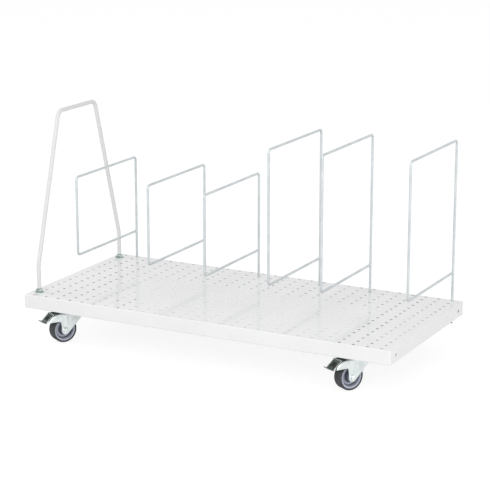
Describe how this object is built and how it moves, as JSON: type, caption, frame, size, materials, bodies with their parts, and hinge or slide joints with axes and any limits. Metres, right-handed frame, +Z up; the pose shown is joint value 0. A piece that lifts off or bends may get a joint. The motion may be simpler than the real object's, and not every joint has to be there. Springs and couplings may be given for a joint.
{
  "type": "mobile cardboard rack",
  "caption": "Low perforated sheet-metal deck on swivel castors, with a bent-rod push handle at one end and lift-out wire dividers that keep cardboard sheets upright.",
  "frame": {"origin": "on the floor, under the middle of the deck", "axes": "+X along the deck, away from the push handle; +Y to the rear, where the dividers stand; +Z up"},
  "size_m": [1.14, 0.5323, 0.656],
  "materials": {
    "deck_paint": "light grey powder coat, satin",
    "handle_paint": "light grey powder coat, satin",
    "zinc_wire": "bright zinc plate on drawn wire",
    "zinc_sheet": "bright zinc plate on pressed sheet",
    "zinc_fastener": "zinc plate",
    "pedal_zinc": "dark olive passivated zinc",
    "bearing_steel": "ground",
    "hub_plastic": "moulded grey",
    "tyre_rubber": "dark grey rubber",
    "shoe_rubber": "black rubber"
  },
  "bodies": {
    "rack": {"deck_tray": "deck_paint", "cross_channel_left": "deck_paint", "cross_channel_right": "deck_paint", "push_handle": "handle_paint", "handle_washers_upper": "zinc_fastener", "handle_nuts_upper": "zinc_fastener", "handle_washers_lower": "zinc_fastener", "handle_nuts_lower": "zinc_fastener", "castor_bolts": "zinc_fastener", "castor_nuts": "zinc_fastener", "front_left_top_plate": "zinc_sheet", "front_left_kingpin": "zinc_fastener", "front_right_top_plate": "zinc_sheet", "front_right_kingpin": "zinc_fastener", "rear_left_top_plate": "zinc_sheet", "rear_left_kingpin": "zinc_fastener", "rear_right_top_plate": "zinc_sheet", "rear_right_kingpin": "zinc_fastener"},
    "front_left_swivel": {"front_left_fork": "zinc_sheet", "front_left_ball_ring": "bearing_steel", "front_left_axle": "zinc_fastener", "front_left_axle_sleeve": "bearing_steel", "front_left_pedal_pin": "zinc_fastener"},
    "front_left_wheel": {"front_left_wheel_hub": "hub_plastic", "front_left_tyre": "tyre_rubber"},
    "front_left_pedal": {"front_left_brake_pedal": "pedal_zinc", "front_left_brake_shoe": "shoe_rubber"},
    "front_right_swivel": {"front_right_fork": "zinc_sheet", "front_right_ball_ring": "bearing_steel", "front_right_axle": "zinc_fastener", "front_right_axle_sleeve": "bearing_steel", "front_right_pedal_pin": "zinc_fastener"},
    "front_right_wheel": {"front_right_wheel_hub": "hub_plastic", "front_right_tyre": "tyre_rubber"},
    "front_right_pedal": {"front_right_brake_pedal": "pedal_zinc", "front_right_brake_shoe": "shoe_rubber"},
    "rear_left_swivel": {"rear_left_fork": "zinc_sheet", "rear_left_ball_ring": "bearing_steel", "rear_left_axle": "zinc_fastener", "rear_left_axle_sleeve": "bearing_steel"},
    "rear_left_wheel": {"rear_left_wheel_hub": "hub_plastic", "rear_left_tyre": "tyre_rubber"},
    "rear_right_swivel": {"rear_right_fork": "zinc_sheet", "rear_right_ball_ring": "bearing_steel", "rear_right_axle": "zinc_fastener", "rear_right_axle_sleeve": "bearing_steel"},
    "rear_right_wheel": {"rear_right_wheel_hub": "hub_plastic", "rear_right_tyre": "tyre_rubber"},
    "low_left_divider": {"divider_low_left": "zinc_wire"},
    "low_middle_divider": {"divider_low_middle": "zinc_wire"},
    "low_right_divider": {"divider_low_right": "zinc_wire"},
    "high_left_divider": {"divider_high_left": "zinc_wire"},
    "high_middle_divider": {"divider_high_middle": "zinc_wire"},
    "high_right_divider": {"divider_high_right": "zinc_wire"}
  },
  "joints": [
    {"name": "front_left_swivel_turn", "type": "hinge", "parent": "rack", "child": "front_left_swivel", "pos_m": [-0.457, -0.1725, 0.088], "axis": [0, 0, 1], "continuous": true},
    {"name": "front_left_wheel_spin", "type": "hinge", "parent": "front_left_swivel", "child": "front_left_wheel", "pos_m": [-0.47657, -0.20507, 0.0375], "axis": [0.8572, -0.515, 0], "continuous": true},
    {"name": "front_left_pedal_press", "type": "hinge", "parent": "front_left_swivel", "child": "front_left_pedal", "pos_m": [-0.48687, -0.22222, 0.08], "axis": [0.8572, -0.515, 0], "range_deg": [0, 8]},
    {"name": "front_right_swivel_turn", "type": "hinge", "parent": "rack", "child": "front_right_swivel", "pos_m": [0.447, -0.1725, 0.088], "axis": [0, 0, 1], "continuous": true},
    {"name": "front_right_wheel_spin", "type": "hinge", "parent": "front_right_swivel", "child": "front_right_wheel", "pos_m": [0.42743, -0.20507, 0.0375], "axis": [0.8572, -0.515, 0], "continuous": true},
    {"name": "front_right_pedal_press", "type": "hinge", "parent": "front_right_swivel", "child": "front_right_pedal", "pos_m": [0.41713, -0.22222, 0.08], "axis": [0.8572, -0.515, 0], "range_deg": [0, 8]},
    {"name": "rear_left_swivel_turn", "type": "hinge", "parent": "rack", "child": "rear_left_swivel", "pos_m": [-0.457, 0.1725, 0.088], "axis": [0, 0, 1], "continuous": true},
    {"name": "rear_left_wheel_spin", "type": "hinge", "parent": "rear_left_swivel", "child": "rear_left_wheel", "pos_m": [-0.48991, 0.1535, 0.0375], "axis": [0.5, -0.866, 0], "continuous": true},
    {"name": "rear_right_swivel_turn", "type": "hinge", "parent": "rack", "child": "rear_right_swivel", "pos_m": [0.447, 0.1725, 0.088], "axis": [0, 0, 1], "continuous": true},
    {"name": "rear_right_wheel_spin", "type": "hinge", "parent": "rear_right_swivel", "child": "rear_right_wheel", "pos_m": [0.41409, 0.1535, 0.0375], "axis": [0.5, -0.866, 0], "continuous": true},
    {"name": "low_left_divider_lift", "type": "slide", "parent": "rack", "child": "low_left_divider", "axis": [0, 0, 1], "range_m": [0, 0.07]},
    {"name": "low_middle_divider_lift", "type": "slide", "parent": "rack", "child": "low_middle_divider", "axis": [0, 0, 1], "range_m": [0, 0.07]},
    {"name": "low_right_divider_lift", "type": "slide", "parent": "rack", "child": "low_right_divider", "axis": [0, 0, 1], "range_m": [0, 0.07]},
    {"name": "high_left_divider_lift", "type": "slide", "parent": "rack", "child": "high_left_divider", "axis": [0, 0, 1], "range_m": [0, 0.07]},
    {"name": "high_middle_divider_lift", "type": "slide", "parent": "rack", "child": "high_middle_divider", "axis": [0, 0, 1], "range_m": [0, 0.07]},
    {"name": "high_right_divider_lift", "type": "slide", "parent": "rack", "child": "high_right_divider", "axis": [0, 0, 1], "range_m": [0, 0.07]}
  ]
}
